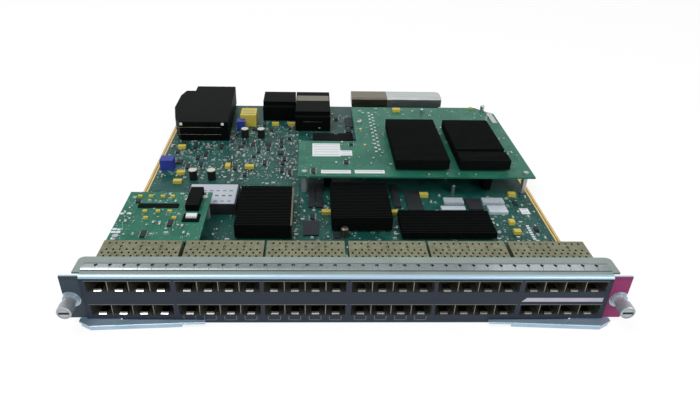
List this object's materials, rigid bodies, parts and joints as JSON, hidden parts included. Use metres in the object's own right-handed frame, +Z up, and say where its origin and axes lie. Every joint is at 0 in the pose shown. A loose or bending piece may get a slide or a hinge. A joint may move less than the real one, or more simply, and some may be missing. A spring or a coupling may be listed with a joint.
{
  "type": "switch line card",
  "caption": "Chassis switch line card: wide ported front panel with captive screws and ejector levers, circuit boards with heat sinks, and backplane connectors at the rear.",
  "frame": {"origin": "middle of the card's footprint, at the height of the front panel's lower edge", "axes": "+X to the right seen from the front, +Y from the front panel to the backplane connectors, +Z up from the board's component side"},
  "size_m": [0.3922, 0.418, 0.0426],
  "materials": {
    "panel_steel": "zinc-plated satin",
    "face_film": "printed polyester film",
    "ear_film_dark": "printed polyester film",
    "ear_film_magenta": "printed polyester film",
    "gasket_metal": "plated spring metal",
    "cage_metal": "nickel-plated sheet",
    "spring_metal": "bright spring steel",
    "black_plastic": "moulded black",
    "screw_metal": "nickel-plated",
    "lever_metal": "blue-passivated zinc",
    "board_green": "solder mask",
    "card_green": "solder mask",
    "sink_black": "black anodised",
    "chip_plastic": "moulded epoxy",
    "can_metal": "bright drawn metal",
    "shell_metal": "drawn shell",
    "yellow_plastic": "moulded yellow",
    "blue_plastic": "dipped blue"
  },
  "bodies": {
    "card": {"bracket_screws": "screw_metal", "bus_connector_body": "black_plastic", "bus_connector_shell": "shell_metal", "cage_dividers_1": "cage_metal", "cage_dividers_2": "cage_metal", "cage_dividers_3": "cage_metal", "cage_dividers_4": "cage_metal", "cage_dividers_5": "cage_metal", "cage_dividers_6": "cage_metal", "cage_shell_1": "cage_metal", "cage_shell_2": "cage_metal", "cage_shell_3": "cage_metal", "cage_shell_4": "cage_metal", "cage_shell_5": "cage_metal", "cage_shell_6": "cage_metal", "card_heat_sink_left": "sink_black", "card_heat_sink_right": "sink_black", "card_screws": "screw_metal", "crystal_cans": "can_metal", "ear_film_left": "ear_film_dark", "ear_film_right": "ear_film_magenta", "emi_gasket": "gasket_metal", "fabric_connector_left": "black_plastic", "fabric_connector_right": "black_plastic", "face_film": "face_film", "film_capacitors": "blue_plastic", "forwarding_card": "card_green", "forwarding_processors": "chip_plastic", "front_panel": "panel_steel", "heat_sink_left": "sink_black", "heat_sink_middle": "sink_black", "heat_sink_right": "sink_black", "latch_tongues": "spring_metal", "lever_pins": "screw_metal", "main_board": "board_green", "memory_chips": "chip_plastic", "mezzanine_connectors": "black_plastic", "panel_bracket_left": "panel_steel", "panel_bracket_right": "panel_steel", "port_processors": "chip_plastic", "port_sockets": "black_plastic", "power_connector": "black_plastic", "power_module": "chip_plastic", "power_transformer": "yellow_plastic", "round_capacitors": "can_metal", "row_separators": "cage_metal", "screw_ferrules": "screw_metal", "side_card": "card_green", "standoffs": "screw_metal", "tantalum_capacitors": "yellow_plastic"},
    "lever_left": {"ejector_lever_left": "lever_metal"},
    "lever_right": {"ejector_lever_right": "lever_metal"},
    "spring_left": {"screw_spring_left": "spring_metal"},
    "screw_left": {"captive_screw_left": "screw_metal"},
    "spring_right": {"screw_spring_right": "spring_metal"},
    "screw_right": {"captive_screw_right": "screw_metal"}
  },
  "joints": [
    {"name": "lever_left_swing", "type": "hinge", "parent": "card", "child": "lever_left", "pos_m": [-0.172, -0.188, 0.0032], "axis": [0, 0, -1], "range_deg": [0, 65]},
    {"name": "screw_left_press", "type": "slide", "parent": "card", "child": "spring_left", "axis": [0, 1, 0], "range_m": [0, 0.005], "stiffness_N_per_m": 400, "springref_m": -0.003, "deforming": ["screw_spring_left"]},
    {"name": "screw_left_turn", "type": "hinge", "parent": "spring_left", "child": "screw_left", "pos_m": [-0.1905, -0.195, 0.0205], "axis": [0, 1, 0], "continuous": true},
    {"name": "lever_right_swing", "type": "hinge", "parent": "card", "child": "lever_right", "pos_m": [0.172, -0.188, 0.0032], "axis": [0, 0, 1], "range_deg": [0, 65]},
    {"name": "screw_right_press", "type": "slide", "parent": "card", "child": "spring_right", "axis": [0, 1, 0], "range_m": [0, 0.005], "stiffness_N_per_m": 400, "springref_m": -0.003, "deforming": ["screw_spring_right"]},
    {"name": "screw_right_turn", "type": "hinge", "parent": "spring_right", "child": "screw_right", "pos_m": [0.1905, -0.195, 0.0205], "axis": [0, 1, 0], "continuous": true}
  ]
}
